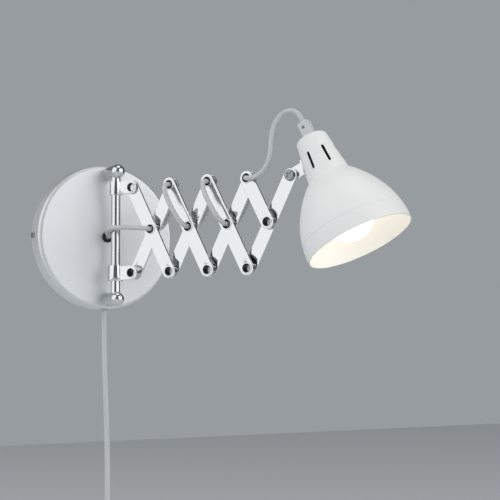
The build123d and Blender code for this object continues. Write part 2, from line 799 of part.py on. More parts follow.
# Slack loop from the last rivet to the grip, in shares along, up and across the arm
last_rivet = (top[3].X, top[3].Y, front_face)
neck_spot = (neck_a, neck_z, shade_layer)
slack_loop = [
    (0.061, -0.040, -0.836),
    (0.182, -0.034, -0.961),
    (0.306, 0.092, -0.773),
    (0.388, 0.351, -0.461),
    (0.418, 0.685, -0.180),
    (0.408, 1.038, 0.070),
    (0.431, 1.378, 0.273),
    (0.496, 1.643, 0.477),
    (0.591, 1.800, 0.664),
    (0.693, 1.838, 0.820),
    (0.775, 1.782, 0.945),
]
cord(
    "arm_cord_lamp",
    [
        arm_point(top[3].X, top[3].Y, meeting),
        arm_point(top[3].X, top[3].Y, front_face + 0.96 * arm_cord_radius),
        *[arm_point(*between(last_rivet, neck_spot, shares)) for shares in slack_loop],
        head_level.from_local_coords(Vector(0, 0, grip_height + grip_lead)),
        head_level.from_local_coords(Vector(0, 0, grip_seat)),
    ],
    arm_cord_radius,
)

# Mains cord: out of the bottom of the canopy and straight down to the switch
mains_start = (block_middle[0], -entry_depth, -block_height / 2)
mains_gather = (0, -mains_exit_depth, -post_height)
mains_exit = (0, -mains_exit_depth, -canopy_radius)
mains_end = Vector(mains_drift, -mains_exit_depth, -canopy_radius - switch_drop)
mains_length = cord(
    "mains_cord",
    [
        mains_start,
        between(mains_start, mains_gather, (0, 0, 0.255)),
        between(mains_start, mains_gather, (0.235, 0.305, 0.509)),
        between(mains_start, mains_gather, (0.687, 0.746, 0.738)),
        mains_gather,
        between(mains_exit, mains_end, (0.04, 0, 0.12)),
        between(mains_exit, mains_end, (0.27, 0, 0.33)),
        between(mains_exit, mains_end, (0.73, 0, 0.55)),
        between(mains_exit, mains_end, (1, 0, 0.775)),
        mains_end,
    ],
    mains_cord_radius,
)

# In-line switch: moulded body with a rocker on its own stub axle
switch_top = mains_end.Z + cord_seat
switch_bottom = switch_top - switch_length
switch_middle = Vector(mains_end.X, mains_end.Y, (switch_top + switch_bottom) / 2)
switch_plane = Plane(origin=switch_middle, x_dir=(1, 0, 0), z_dir=(0, -1, 0))
rocker_pivot = switch_middle + Vector(0, rocker_pivot_depth - switch_depth / 2, 0)
axle_reach = rocker_width / 2 + rocker_gap + rocker_axle_length
with BuildPart() as switch_body:
    with BuildSketch(switch_plane):
        RectangleRounded(switch_width, switch_length, switch_round)
    extrude(amount=switch_depth / 2, both=True)
    rims = switch_body.faces().filter_by(Axis.Y).edges()
    fillet(rims, switch_round / 2)
    with BuildSketch(switch_plane.offset(switch_depth / 2)):
        Rectangle(rocker_width + 2 * rocker_gap, rocker_length + 2 * rocker_gap)
    extrude(amount=-rocker_pocket_depth, mode=Mode.SUBTRACT)
    with BuildSketch(Plane(origin=rocker_pivot, x_dir=(0, 0, 1), z_dir=(1, 0, 0))):
        Circle(rocker_axle_radius + running_gap)
    extrude(amount=axle_reach + side_gap, both=True, mode=Mode.SUBTRACT)
    for level, into in ((switch_top, -1), (switch_bottom, 1)):
        with BuildSketch(Plane.XY.offset(level)):
            with Locations((switch_middle.X, switch_middle.Y)):
                Circle(mains_cord_radius + cord_gap)
        extrude(amount=into * cord_seat, mode=Mode.SUBTRACT)
save(switch_body, "switch_body")

lean = radians(rocker_tilt)
rocker_plane = Plane(origin=rocker_pivot, x_dir=(0, -sin(lean), cos(lean)), z_dir=(1, 0, 0))
with BuildPart() as switch_rocker:
    with BuildSketch(rocker_plane):
        with BuildLine():
            Polyline(
                (-rocker_length, -rocker_axle_radius),
                (rocker_length, -rocker_axle_radius),
                (rocker_length, rocker_pivot_depth + 2 * rocker_rise),
                (0, rocker_pivot_depth),
                (-rocker_length, rocker_pivot_depth + 2 * rocker_rise),
                close=True,
            )
        make_face()
        Circle(rocker_length / 2, mode=Mode.INTERSECT)
        Circle(rocker_axle_radius)
    extrude(amount=rocker_width / 2, both=True)
    with BuildSketch(rocker_plane):
        Circle(rocker_axle_radius)
    extrude(amount=axle_reach, both=True)
save(switch_rocker, "switch_rocker")

# Spare cord: wound into two layers, spiralling in and out, climbing in the half turn between
half_step = coil_pitch / 2
coil_start = Vector(mains_end.X, mains_end.Y, switch_bottom + cord_seat)
layer_step = Vector(0, -coil_pitch, 0)
left = Vector(-1, 0, 0)
right = Vector(1, 0, 0)
down = Vector(0, 0, -1)
with BuildLine() as coil_line:
    lead = Line(coil_start, coil_start + down * (cord_seat + coil_lead))
    bend = TangentArc(lead @ 1, (lead @ 1) + (left + down) * coil_lead_radius, tangent=down)
    spot = bend @ 1
    for k in range(coil_half_turns):
        across = 2 * (coil_outer_radius - k * half_step)
        heading, drop = (left, down) if k % 2 == 0 else (right, down * -1)
        turn = TangentArc(spot, spot + drop * across, tangent=heading)
        spot = turn @ 1
    climb_radius = coil_outer_radius - coil_half_turns * half_step
    climb_swing = sqrt(climb_radius**2 + half_step**2)
    summit = spot + right * climb_swing - down * climb_radius + layer_step / 2
    climb = TangentArc(spot, summit, tangent=right)
    climb = TangentArc(summit, spot - down * 2 * climb_radius + layer_step, tangent=climb % 1)
    spot = climb @ 1
    for k in range(coil_half_turns - 1):
        across = 2 * (climb_radius + (k + 1) * half_step)
        heading, drop = (left, down) if k % 2 == 0 else (right, down * -1)
        turn = TangentArc(spot, spot + drop * across, tangent=heading)
        spot = turn @ 1
    quarter = TangentArc(spot, spot + (left + down) * coil_outer_radius, tangent=left)
    tail_end = (quarter @ 1) + down * (coil_tail + cord_seat)
    Line(quarter @ 1, tail_end)
coil_path = coil_line.wires()[0]
mains_coil = tube(coil_path, mains_cord_radius)
save(mains_coil, "mains_coil")

samples = 700
beads = [coil_path.position_at(k / samples) for k in range(samples + 1)]
apart = int(4 * coil_pitch / (coil_path.length / samples))
nearest = min((beads[j] - beads[i]).length for i in range(samples) for j in range(i + apart, samples + 1))
coil_share = mains_coil.part.volume / (pi * mains_cord_radius**2 * coil_path.length)
print("mains_coil length", round(coil_path.length, 1), "volume share", round(coil_share, 4))
print("  least gap to itself", round(nearest - 2 * mains_cord_radius, 2))
print("whole mains lead", round(mains_length + switch_length + coil_path.length))

# Tie round the coil's right side
window_left = bend @ 1 + right * (climb_swing - mains_cord_radius - tie_gap)
window_width = coil_outer_radius - half_step - climb_swing + 2 * (mains_cord_radius + tie_gap)
window_depth = coil_pitch + 2 * (mains_cord_radius + tie_gap)
tie_middle = window_left + right * window_width / 2 + down * (coil_outer_radius + half_step) + layer_step / 2
with BuildPart() as cord_tie:
    with BuildSketch(Plane(origin=tie_middle + down * tie_height / 2, z_dir=(0, 0, 1))):
        RectangleRounded(window_width + 2 * tie_thickness, window_depth + 2 * tie_thickness, 2 * tie_thickness)
        RectangleRounded(window_width, window_depth, tie_thickness, mode=Mode.SUBTRACT)
    extrude(amount=tie_height)
save(cord_tie, "cord_tie")

# Plug hanging from the end of the coil, with two round pins
plug_top = tail_end + down * -cord_seat
plug_plane = Plane(origin=plug_top, x_dir=(1, 0, 0), z_dir=(0, -1, 0))
pin_spots = [(plug_top.X - pin_spacing / 2, plug_top.Y), (plug_top.X + pin_spacing / 2, plug_top.Y)]
with BuildPart() as plug_body:
    with BuildSketch(plug_plane):
        with BuildLine():
            Polyline(
                (-plug_neck_width / 2, 0),
                (plug_neck_width / 2, 0),
                (plug_width / 2, plug_shoulder - plug_length),
                (plug_width / 2, -plug_length),
                (-plug_width / 2, -plug_length),
                (-plug_width / 2, plug_shoulder - plug_length),
                close=True,
            )
        make_face()
    extrude(amount=plug_thickness / 2, both=True)
    fillet(plug_body.edges().filter_by(Axis.Y), plug_round)
    fillet(plug_body.faces().filter_by(Axis.Y).edges(), plug_round)
    with BuildSketch(Plane.XY.offset(plug_top.Z)):
        with Locations((plug_top.X, plug_top.Y)):
            Circle(mains_cord_radius + cord_gap)
    extrude(amount=-cord_seat, mode=Mode.SUBTRACT)
    with BuildSketch(Plane.XY.offset(plug_top.Z - plug_length)):
        with Locations(*pin_spots):
            Circle(pin_radius + press_gap)
    extrude(amount=pin_seat, mode=Mode.SUBTRACT)
save(plug_body, "plug_body")

with BuildPart() as plug_pins:
    with BuildSketch(Plane.XY.offset(plug_top.Z - plug_length + pin_seat)):
        with Locations(*pin_spots):
            Circle(pin_radius)
    extrude(amount=-pin_seat - pin_length)
    tips = plug_pins.faces().filter_by(Axis.Z).group_by(Axis.Z)[0]
    fillet(tips.edges(), pin_round)
save(plug_pins, "plug_pins")
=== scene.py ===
import json
from math import cos, pi, radians, sin

import bpy
from mathutils import Matrix, Vector
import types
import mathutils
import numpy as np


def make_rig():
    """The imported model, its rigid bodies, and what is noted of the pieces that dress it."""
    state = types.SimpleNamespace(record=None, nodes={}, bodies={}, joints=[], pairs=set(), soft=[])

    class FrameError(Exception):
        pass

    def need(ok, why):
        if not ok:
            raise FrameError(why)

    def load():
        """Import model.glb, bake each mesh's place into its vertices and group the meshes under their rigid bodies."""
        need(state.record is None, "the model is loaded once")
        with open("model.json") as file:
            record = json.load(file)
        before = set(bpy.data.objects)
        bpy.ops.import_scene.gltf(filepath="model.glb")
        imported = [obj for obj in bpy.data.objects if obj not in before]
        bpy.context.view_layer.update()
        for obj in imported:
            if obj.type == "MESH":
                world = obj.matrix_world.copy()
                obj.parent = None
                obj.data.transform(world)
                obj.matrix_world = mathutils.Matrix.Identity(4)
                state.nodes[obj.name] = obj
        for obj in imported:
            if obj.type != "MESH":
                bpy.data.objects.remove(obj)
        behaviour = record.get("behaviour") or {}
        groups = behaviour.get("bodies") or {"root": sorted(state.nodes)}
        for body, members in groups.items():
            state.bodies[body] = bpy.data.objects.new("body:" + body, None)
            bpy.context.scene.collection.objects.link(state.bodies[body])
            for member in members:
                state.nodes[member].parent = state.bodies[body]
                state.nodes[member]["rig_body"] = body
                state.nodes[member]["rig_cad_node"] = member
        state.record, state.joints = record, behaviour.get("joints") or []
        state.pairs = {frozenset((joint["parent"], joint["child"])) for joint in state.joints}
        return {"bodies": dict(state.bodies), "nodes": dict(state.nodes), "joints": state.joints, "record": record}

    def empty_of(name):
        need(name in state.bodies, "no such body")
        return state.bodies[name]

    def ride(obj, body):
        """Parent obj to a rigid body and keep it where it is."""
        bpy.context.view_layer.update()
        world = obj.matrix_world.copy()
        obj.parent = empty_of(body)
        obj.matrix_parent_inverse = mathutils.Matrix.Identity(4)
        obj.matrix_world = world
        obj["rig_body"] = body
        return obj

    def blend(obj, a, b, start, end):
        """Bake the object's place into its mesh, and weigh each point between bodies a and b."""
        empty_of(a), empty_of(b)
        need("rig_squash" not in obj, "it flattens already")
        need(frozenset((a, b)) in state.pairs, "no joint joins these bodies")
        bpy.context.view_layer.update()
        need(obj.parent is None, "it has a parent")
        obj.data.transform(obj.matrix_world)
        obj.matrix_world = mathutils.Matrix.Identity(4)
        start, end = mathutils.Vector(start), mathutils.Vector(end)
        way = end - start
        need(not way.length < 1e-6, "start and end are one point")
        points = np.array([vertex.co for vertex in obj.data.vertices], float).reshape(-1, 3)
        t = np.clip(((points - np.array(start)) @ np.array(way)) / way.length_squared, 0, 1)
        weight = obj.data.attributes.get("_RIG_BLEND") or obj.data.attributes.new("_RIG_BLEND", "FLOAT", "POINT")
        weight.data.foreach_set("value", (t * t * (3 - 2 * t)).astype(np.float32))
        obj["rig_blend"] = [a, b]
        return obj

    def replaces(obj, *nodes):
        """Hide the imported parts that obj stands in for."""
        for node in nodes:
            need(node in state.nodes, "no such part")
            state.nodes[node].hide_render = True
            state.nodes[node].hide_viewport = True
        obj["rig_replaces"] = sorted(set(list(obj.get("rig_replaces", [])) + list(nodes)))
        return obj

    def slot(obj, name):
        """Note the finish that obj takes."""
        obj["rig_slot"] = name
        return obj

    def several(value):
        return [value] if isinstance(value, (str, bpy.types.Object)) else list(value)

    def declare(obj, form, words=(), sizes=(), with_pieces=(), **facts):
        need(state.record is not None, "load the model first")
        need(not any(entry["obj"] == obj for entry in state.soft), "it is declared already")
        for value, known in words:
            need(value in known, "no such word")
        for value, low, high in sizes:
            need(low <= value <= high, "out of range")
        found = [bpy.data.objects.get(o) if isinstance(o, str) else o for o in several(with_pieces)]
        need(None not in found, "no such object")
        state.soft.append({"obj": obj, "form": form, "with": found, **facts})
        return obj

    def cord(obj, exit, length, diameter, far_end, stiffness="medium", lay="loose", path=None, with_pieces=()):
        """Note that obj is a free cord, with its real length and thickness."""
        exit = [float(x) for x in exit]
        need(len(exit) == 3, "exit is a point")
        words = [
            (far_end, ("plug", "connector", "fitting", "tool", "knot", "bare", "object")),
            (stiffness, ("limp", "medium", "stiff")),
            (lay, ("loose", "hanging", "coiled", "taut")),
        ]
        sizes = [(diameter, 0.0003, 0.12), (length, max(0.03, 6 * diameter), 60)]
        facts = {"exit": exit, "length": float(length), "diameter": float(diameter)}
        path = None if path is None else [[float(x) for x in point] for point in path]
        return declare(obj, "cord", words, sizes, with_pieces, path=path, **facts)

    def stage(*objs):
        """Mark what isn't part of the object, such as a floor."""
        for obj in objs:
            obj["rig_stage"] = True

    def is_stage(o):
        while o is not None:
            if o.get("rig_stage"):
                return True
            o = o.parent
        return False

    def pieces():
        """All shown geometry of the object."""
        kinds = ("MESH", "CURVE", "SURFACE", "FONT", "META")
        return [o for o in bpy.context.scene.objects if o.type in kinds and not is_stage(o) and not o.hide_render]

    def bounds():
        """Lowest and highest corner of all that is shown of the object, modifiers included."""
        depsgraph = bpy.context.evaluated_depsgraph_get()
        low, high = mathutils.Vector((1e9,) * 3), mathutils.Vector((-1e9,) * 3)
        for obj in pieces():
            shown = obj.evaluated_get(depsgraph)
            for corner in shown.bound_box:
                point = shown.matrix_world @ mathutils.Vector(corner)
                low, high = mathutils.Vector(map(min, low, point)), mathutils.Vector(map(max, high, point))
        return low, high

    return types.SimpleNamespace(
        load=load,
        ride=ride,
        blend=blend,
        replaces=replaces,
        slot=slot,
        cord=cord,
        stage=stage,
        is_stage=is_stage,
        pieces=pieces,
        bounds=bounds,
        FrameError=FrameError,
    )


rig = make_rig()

# The frame is the CAD model's: metres, the wall at Y = 0, the lamp out towards -Y, Z up.
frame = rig.load()
cad_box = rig.bounds()
nodes = frame["nodes"]
bpy.ops.object.select_all(action="DESELECT")
MM = 0.001

# Wall bracket, with the screws and nuts that are out of sight: pressed steel strip and turned
# screws, zinc plated. The bracket is screwed to the wall and carries everything else.


def linear(code):
    """Linear colour of an sRGB hex value."""
    parts = [int(code[k:k + 2], 16) / 255 for k in (1, 3, 5)]
    return [p / 12.92 if p <= 0.04045 else ((p + 0.055) / 1.055) ** 2.4 for p in parts] + [1.0]


def add_node(tree, kind, sockets=None, **settings):
    """Add a node with its settings; a socket takes a number, a colour or another node's output."""
    node = tree.nodes.new(kind)
    for name, value in settings.items():
        setattr(node, name, value)
    for name, value in (sockets or {}).items():
        if isinstance(value, bpy.types.NodeSocket):
            tree.links.new(value, node.inputs[name])
        else:
            node.inputs[name].default_value = value
    return node


def new_material(name):
    """An empty material and its node tree."""
    material = bpy.data.materials.new(name)
    material.use_nodes = True
    material.node_tree.nodes.clear()
    return material, material.node_tree


def finish_surface(tree, shader):
    """Send the shader to the material's output."""
    add_node(tree, "ShaderNodeOutputMaterial", {"Surface": shader.outputs[0]})


def dress(material, *names):
    """Give CAD nodes their material."""
    for name in names:
        nodes[name].data.materials.clear()
        nodes[name].data.materials.append(material)


# Zinc plate is a pale grey, mottled faintly warm and cool, with blurred reflections.
zinc_plate, tree = new_material("zinc_plated_steel")
place = add_node(tree, "ShaderNodeTexCoord")
mottle = add_node(tree, "ShaderNodeTexNoise", {
    "Vector": place.outputs["Object"], "Scale": 1 / (9 * MM), "Detail": 4.0})
tint = add_node(tree, "ShaderNodeValToRGB", {"Fac": mottle.outputs["Fac"]})
tint.color_ramp.elements[0].color = linear("#A9ADB0")
tint.color_ramp.elements[1].color = linear("#C6C4BC")
haze = add_node(tree, "ShaderNodeMapRange", {
    "Value": mottle.outputs["Fac"], "To Min": 0.28, "To Max": 0.46})
finish_surface(tree, add_node(tree, "ShaderNodeBsdfPrincipled", {
    "Base Color": tint.outputs["Color"], "Roughness": haze.outputs["Result"], "Metallic": 1.0}))
dress(zinc_plate, "wall_bracket", "post_screws", "grip_nut")

# Terminal block: moulded white nylon with turned brass screws. It is fixed to the bracket, and the
# two cords are joined in it.

# Nylon is milky: light sinks in a little and the sheen is soft.
white_nylon, tree = new_material("white_nylon")
place = add_node(tree, "ShaderNodeTexCoord")
cloud = add_node(tree, "ShaderNodeTexNoise", {
    "Vector": place.outputs["Object"], "Scale": 1 / (6 * MM), "Detail": 3.0})
tint = add_node(tree, "ShaderNodeValToRGB", {"Fac": cloud.outputs["Fac"]})
tint.color_ramp.elements[0].color = linear("#E6E4DC")
tint.color_ramp.elements[1].color = linear("#F3F2EC")
finish_surface(tree, add_node(tree, "ShaderNodeBsdfPrincipled", {
    "Base Color": tint.outputs["Color"], "Roughness": 0.48, "IOR": 1.53,
    "Subsurface Weight": 0.1, "Subsurface Radius": (1.5 * MM, 1.3 * MM, 1.1 * MM)}))
dress(white_nylon, "terminal_block")

# Turning marks blur the brass's yellow reflections a little.
bright_brass, tree = new_material("turned_brass")
place = add_node(tree, "ShaderNodeTexCoord")
turning = add_node(tree, "ShaderNodeTexNoise", {
    "Vector": place.outputs["Object"], "Scale": 1 / (1.2 * MM), "Detail": 3.0})
haze = add_node(tree, "ShaderNodeMapRange", {
    "Value": turning.outputs["Fac"], "To Min": 0.18, "To Max": 0.34})
finish_surface(tree, add_node(tree, "ShaderNodeBsdfPrincipled", {
    "Base Color": linear("#D9B872"), "Roughness": haze.outputs["Result"], "Metallic": 1.0}))
dress(bright_brass, "terminal_screws", "plug_pins")

# Bushes: moulded black rubber rings, pressed into the canopy's two cord holes, that keep the cords
# off its cut edges. The rubber is matt, with a fine grain that leaves no sharp reflection.
black_rubber, tree = new_material("black_rubber")
place = add_node(tree, "ShaderNodeTexCoord")
grain = add_node(tree, "ShaderNodeTexNoise", {
    "Vector": place.outputs["Object"], "Scale": 1 / (0.5 * MM), "Detail": 2.0})
bump = add_node(tree, "ShaderNodeBump", {
    "Height": grain.outputs["Fac"], "Strength": 0.15, "Distance": 0.1 * MM})
finish_surface(tree, add_node(tree, "ShaderNodeBsdfPrincipled", {
    "Base Color": linear("#1B1C1E"), "Roughness": 0.62, "IOR": 1.52,
    "Normal": bump.outputs["Normal"]}))
dress(black_rubber, "arm_cord_bush", "mains_bush")

# Canopy: a deep-drawn steel cover, satin nickel plated, held by a slotted screw at each side.
# The satin comes from fine lines that the buffing leaves round the middle.

# The lines spread reflections into a soft pale bloom. Real ones are too fine to show, so they are
# drawn 0.9 mm apart.
satin_nickel, tree = new_material("satin_nickel_plate")
place = add_node(tree, "ShaderNodeTexCoord")
axes = add_node(tree, "ShaderNodeSeparateXYZ", {"Vector": place.outputs["Object"]})
across = add_node(tree, "ShaderNodeCombineXYZ", {"X": axes.outputs["X"], "Y": axes.outputs["Z"]})
radius = add_node(tree, "ShaderNodeVectorMath", {0: across.outputs["Vector"]}, operation="LENGTH")
lines = add_node(tree, "ShaderNodeTexNoise", {
    "W": radius.outputs["Value"], "Scale": 1 / (0.9 * MM), "Detail": 4.0}, noise_dimensions="1D")
clouds = add_node(tree, "ShaderNodeTexNoise", {
    "Vector": place.outputs["Object"], "Scale": 1 / (40 * MM), "Detail": 2.0})
both = add_node(tree, "ShaderNodeMath", {
    0: lines.outputs["Fac"], 1: clouds.outputs["Fac"]}, operation="ADD")
haze = add_node(tree, "ShaderNodeMapRange", {
    "Value": both.outputs["Value"], "From Max": 2.0, "To Min": 0.5, "To Max": 0.6})
bump = add_node(tree, "ShaderNodeBump", {
    "Height": lines.outputs["Fac"], "Strength": 0.04, "Distance": 0.05 * MM})
finish_surface(tree, add_node(tree, "ShaderNodeBsdfPrincipled", {
    "Base Color": linear("#EEF0F2"), "Roughness": haze.outputs["Result"], "Metallic": 1.0,
    "Normal": bump.outputs["Normal"]}))
dress(satin_nickel, "canopy")
dress(zinc_plate, "canopy_screws")

# Posts and rod: turned steel, bright chrome plated. The posts are screwed on from behind the canopy
# and bored for the rod, which turns in them.

# Polished chrome mirrors sharply, with a faint haze where it has been wiped.
bright_chrome, tree = new_material("bright_chrome_plate")
place = add_node(tree, "ShaderNodeTexCoord")
wipe = add_node(tree, "ShaderNodeTexNoise", {
    "Vector": place.outputs["Object"], "Scale": 1 / (14 * MM), "Detail": 3.0})
haze = add_node(tree, "ShaderNodeMapRange", {
    "Value": wipe.outputs["Fac"], "To Min": 0.06, "To Max": 0.13})
finish_surface(tree, add_node(tree, "ShaderNodeBsdfPrincipled", {
    "Base Color": linear("#E6E8EA"), "Roughness": haze.outputs["Result"], "Metallic": 1.0}))
dress(bright_chrome, "upper_post", "lower_post", "rod")

# Clamps: sleeves with a flat tab, pressed from steel strip and chrome plated like the rod. The
# upper one is crimped on the rod and the lower one slides.
tumbled_edge = 0.35 * MM


def activate(piece):
    """Select the piece alone and make it the active object."""
    bpy.ops.object.select_all(action="DESELECT")
    piece.select_set(True)
    bpy.context.view_layer.objects.active = piece


def eased(name, width, body, slot):
    """Replace a CAD node by a copy of it with its seams merged and its sharp edges rounded."""
    piece = bpy.data.objects.new(f"{name}_eased", nodes[name].data.copy())
    bpy.context.scene.collection.objects.link(piece)
    activate(piece)
    bpy.ops.object.mode_set(mode="EDIT")
    bpy.ops.mesh.select_all(action="SELECT")
    bpy.ops.mesh.remove_doubles(threshold=0.002 * MM)
    bpy.ops.mesh.dissolve_limited(angle_limit=radians(0.5))
    bpy.ops.object.mode_set(mode="OBJECT")
    rounding = piece.modifiers.new("rounding", "BEVEL")
    rounding.width = width
    rounding.segments = 3
    rounding.limit_method = "ANGLE"
    rounding.angle_limit = radians(50)
    bpy.ops.object.modifier_apply(modifier=rounding.name)
    bpy.ops.object.shade_smooth_by_angle(angle=radians(40))
    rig.replaces(piece, name)
    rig.slot(piece, slot)
    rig.ride(piece, body)


dress(bright_chrome, "upper_clamp", "lower_clamp", "lower_clamp_bush")
eased("upper_clamp", tumbled_edge, "swing_rod", "chrome")
eased("lower_clamp", tumbled_edge, "lower_clamp", "chrome")

# Links: punched from flat steel strip, tumbled so that their edges are rounded, then chrome plated.
# Turned spacers on the rivets keep the front and rear layers apart.
for k in range(1, 5):
    dress(bright_chrome, f"front_link_{k}", f"rear_link_{k}", f"link_spacers_{k}")
    eased(f"front_link_{k}", tumbled_edge, f"front_link_{k}", "chrome")
    eased(f"rear_link_{k}", tumbled_edge, f"rear_link_{k}", "chrome")

# Rivets: thin steel tubes through the links, chrome plated outside, their ends rolled over into
# rounded lips. The arm's own directions are along it, up, and towards its front.
SWING = radians(59.5)
FOLD = radians(27.2)
ROD = Vector((0, -39.8, 0))
arm_out = Vector((cos(SWING), -sin(SWING), 0))
arm_front = Vector((-sin(SWING), -cos(SWING), 0))
post_height, clamp_drop, clamp_reach = 61.0, 16.33, 19.4
link_span = 1.5 * post_height
front_back, link_thickness, layer_gap, side_gap, lip_thickness = -1.15, 2.0, 3.4, 0.1, 0.6
tab_gap, tab_thickness = 0.2, 1.6
front_face = front_back + link_thickness
rear_face = front_back - layer_gap
rear_back = rear_face - link_thickness
tab_front = front_face + tab_gap + tab_thickness
column = Vector((link_span * sin(FOLD), 0))
drop = Vector((0, link_span * cos(FOLD)))
top = [Vector((clamp_reach, post_height - clamp_drop)) + column * k for k in range(5)]
bottom = [pivot - drop for pivot in top]
cross = [(top[k] + bottom[k + 1]) / 2 for k in range(4)]


def arm_point(a, z, n):
    """Place, in millimetres, of a point given along the arm, up and towards the arm's front."""
    return ROD + arm_out * a + Vector((0, 0, z)) + arm_front * n


# The insides of the tubes take a dull dark grey steel. This is painted shade, which makes the bores read as dark
# holes.
bore_shade_steel, tree = new_material("bore_shade_steel")
place = add_node(tree, "ShaderNodeTexCoord")
scale = add_node(tree, "ShaderNodeTexNoise", {
    "Vector": place.outputs["Object"], "Scale": 1 / (1.5 * MM), "Detail": 3.0})
tint = add_node(tree, "ShaderNodeValToRGB", {"Fac": scale.outputs["Fac"]})
tint.color_ramp.elements[0].color = linear("#4A4E51")
tint.color_ramp.elements[1].color = linear("#64696D")
finish_surface(tree, add_node(tree, "ShaderNodeBsdfPrincipled", {
    "Base Color": tint.outputs["Color"], "Roughness": 0.5, "Metallic": 1.0}))


def eyelets(node, body, spots):
    """Replace a CAD node of rivets by spun ones, each given as (pivot, back, front) of its ends."""
    bore, barrel, mouth, flare, lip = 3.2, 3.9, 4.5, 1.7, 5.0
    # The last is how far in from the mouth the painted shade of the bore begins.
    lip_round, lip_side, shade_inset = 0.1, 0.3, 0.25
    flare_steps, spin_steps = 6, 40
    turns = [pi / 2 * j / flare_steps for j in range(flare_steps + 1)]
    made = []
    for pivot, back, front in spots:
        rim = [(bore + (mouth - bore) * (1 - cos(t)), front - flare + flare * sin(t))
               for t in turns]
        rim += [(lip - lip_round, front - lip_round), (lip, front - lip_side),
                (lip, front - lip_thickness), (barrel, front - lip_thickness)]
        foot = [(radius, front + back - height) for radius, height in reversed(rim)]
        ring = [arm_point(pivot.x + radius, pivot.y, height) * MM for radius, height in rim + foot]
        mesh = bpy.data.meshes.new(f"{node}_rolled")
        mesh.from_pydata(ring, [(j, (j + 1) % len(ring)) for j in range(len(ring))], [])
        piece = bpy.data.objects.new(f"{node}_rolled", mesh)
        bpy.context.scene.collection.objects.link(piece)
        activate(piece)
        bpy.ops.object.mode_set(mode="EDIT")
        bpy.ops.mesh.select_all(action="SELECT")
        bpy.ops.mesh.spin(
            steps=spin_steps, angle=2 * pi, center=arm_point(*pivot, 0) * MM, axis=arm_front)
        bpy.ops.mesh.select_all(action="SELECT")
        bpy.ops.mesh.remove_doubles(threshold=0.005 * MM)
        bpy.ops.mesh.normals_make_consistent(inside=False)
        bpy.ops.object.mode_set(mode="OBJECT")
        made.append(piece)
    rivets = made[0]
    activate(rivets)
    for piece in made:
        piece.select_set(True)
    bpy.ops.object.join()
    bpy.ops.object.shade_smooth_by_angle(angle=radians(40))
    rivets.data.materials.append(bright_chrome)
    rivets.data.materials.append(bore_shade_steel)
    # Faces inside each mouth take the dark steel, as painted shade in the bores; the outer rim of the mouth stays
    # chrome.
    for face in rivets.data.polygons:
        off_axis = min((face.center / MM - arm_point(*pivot, 0)).cross(arm_front).length
                       for pivot, back, front in spots)
        face.material_index = 1 if off_axis < mouth - shade_inset else 0
    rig.replaces(rivets, node)
    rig.slot(rivets, "chrome")
    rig.ride(rivets, body)


through_back, through_front = rear_back - side_gap - lip_thickness, front_face + lip_thickness
for k in range(4):
    pivots = [top[k], cross[k]] + ([bottom[k + 1]] if k < 3 else [])
    spots = [(pivot, through_back, through_front) for pivot in pivots]
    if k == 0:
        lip_reach = side_gap + lip_thickness
        spots[0] = (top[0], front_back - lip_reach, tab_front + lip_reach)
    eyelets(f"front_rivets_{k + 1}", f"front_link_{k + 1}", spots)
eyelets("lower_clamp_rivet", "lower_clamp", [(bottom[0], through_back, tab_front + lip_thickness)])

# Lamp joint: a cross-head screw through the last rear link, with a nut behind that sets how stiffly
# the lamp tilts. Both are turned steel, dark nickel plated, as is the screw of the cord grip.

# Dark nickel mirrors less than the chrome round it and blurs a little, so the heads stand out.
dark_nickel, tree = new_material("dark_nickel_plate")
place = add_node(tree, "ShaderNodeTexCoord")
wear = add_node(tree, "ShaderNodeTexNoise", {
    "Vector": place.outputs["Object"], "Scale": 1 / (2 * MM), "Detail": 3.0})
haze = add_node(tree, "ShaderNodeMapRange", {
    "Value": wear.outputs["Fac"], "To Min": 0.1, "To Max": 0.2})
finish_surface(tree, add_node(tree, "ShaderNodeBsdfPrincipled", {
    "Base Color": linear("#9A9EA2"), "Roughness": haze.outputs["Result"], "Metallic": 1.0}))
dress(dark_nickel, "joint_screw", "joint_nut", "grip_screw")
eased("joint_screw", 0.12 * MM, "rear_link_4", "chrome")
eased("joint_nut", 0.3 * MM, "rear_link_4", "chrome")

# Friction washer: punched from grey vulcanised fibre, under the nut of the lamp joint, where it
# holds the lamp as it is put. The fibre is matt and flecked.
grey_fibre, tree = new_material("vulcanised_fibre")
place = add_node(tree, "ShaderNodeTexCoord")
fleck = add_node(tree, "ShaderNodeTexNoise", {
    "Vector": place.outputs["Object"], "Scale": 1 / (0.4 * MM), "Detail": 3.0})
tint = add_node(tree, "ShaderNodeValToRGB", {"Fac": fleck.outputs["Fac"]})
tint.color_ramp.elements[0].color = linear("#3E3F41")
tint.color_ramp.elements[1].color = linear("#55565A")
finish_surface(tree, add_node(tree, "ShaderNodeBsdfPrincipled", {
    "Base Color": tint.outputs["Color"], "Roughness": 0.7}))
dress(grey_fibre, "joint_washer")

# Head bracket: a chrome plated steel strip on the joint screw, its end curved round the neck and
# spot welded to it.
dress(bright_chrome, "head_bracket")
eased("head_bracket", 0.25 * MM, "lamp_head", "chrome")

